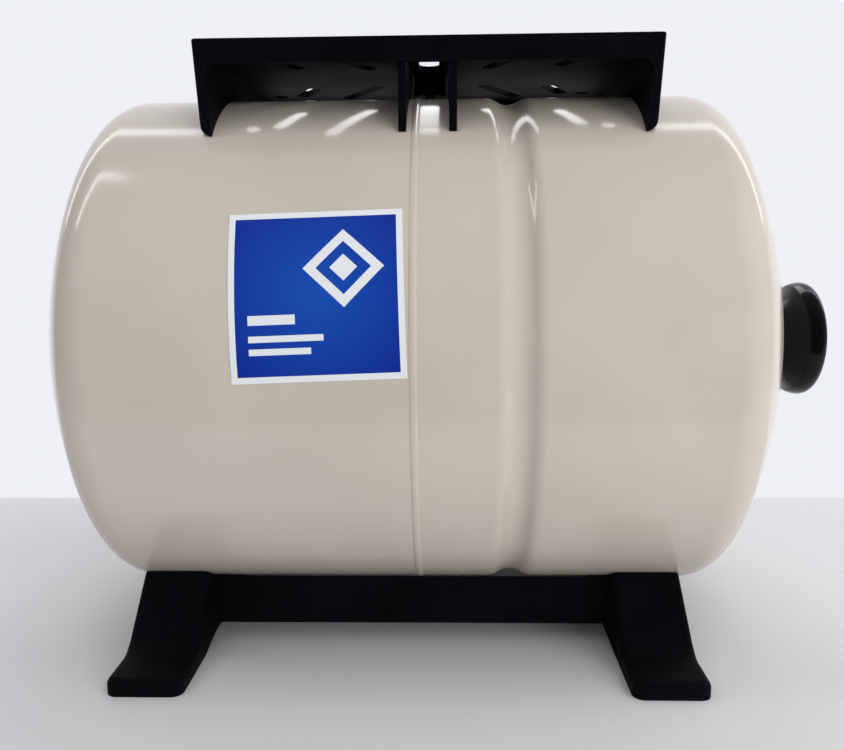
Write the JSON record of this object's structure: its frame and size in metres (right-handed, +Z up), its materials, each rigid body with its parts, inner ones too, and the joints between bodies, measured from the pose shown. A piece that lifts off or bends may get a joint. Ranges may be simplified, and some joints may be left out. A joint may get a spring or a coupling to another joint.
{
  "type": "well pressure tank",
  "caption": "Horizontal steel diaphragm pressure tank on a moulded base, with a moulded pump bracket on top, a water connection at one end and a capped air valve at the other.",
  "frame": {"origin": "centre of the bounding box at floor level", "axes": "+X along the vessel from the water connection to the air valve, +Z up; the labelled front faces -Y"},
  "size_m": [0.474, 0.2912, 0.3298],
  "materials": {
    "vessel_enamel": "gloss beige enamel",
    "moulded_plastic": "satin black",
    "cap_plastic": "gloss black",
    "label_vinyl": "printed satin vinyl",
    "liner_plastic": "natural",
    "butyl": "matt",
    "zinc_steel": "zinc plated",
    "stainless": "turned stainless steel",
    "brass": "turned"
  },
  "bodies": {
    "tank": {"water_shell": "vessel_enamel", "air_shell": "vessel_enamel", "liner": "liner_plastic", "diaphragm": "butyl", "clench_ring": "stainless", "water_connection": "stainless", "connection_gasket": "butyl", "valve_boss": "vessel_enamel", "valve_stem": "brass", "valve_gasket": "butyl", "valve_core_body": "brass", "valve_core_spring": "stainless", "pump_bracket": "moulded_plastic", "base_stand": "moulded_plastic", "connection_nut": "stainless", "valve_nut": "brass", "bracket_stud": "zinc_steel", "bracket_washer": "zinc_steel", "bracket_nut": "zinc_steel", "base_studs": "zinc_steel", "base_washers": "zinc_steel", "base_nuts": "zinc_steel", "tank_label": "label_vinyl"},
    "cap_seal": {"cap_seal_ring": "butyl"},
    "cap": {"air_cap": "cap_plastic"},
    "valve_pin": {"valve_core_pin": "brass"}
  },
  "joints": [
    {"name": "cap_slide", "type": "slide", "parent": "tank", "child": "cap_seal", "axis": [1, 0, 0], "range_m": [0, 0.009]},
    {"name": "cap_turn", "type": "hinge", "parent": "cap_seal", "child": "cap", "pos_m": [0.22, 0, 0.1665], "axis": [1, 0, 0], "range_deg": [0, 1080]},
    {"name": "valve_press", "type": "slide", "parent": "tank", "child": "valve_pin", "axis": [-1, 0, 0], "range_m": [0, 0.0015], "stiffness_N_per_m": 300, "springref_m": -0.002, "deforming": ["valve_core_spring"]}
  ],
  "couplings": [
    {"joint": "cap_slide", "follows": "cap_turn", "m_per_rad": 0.00047746}
  ]
}
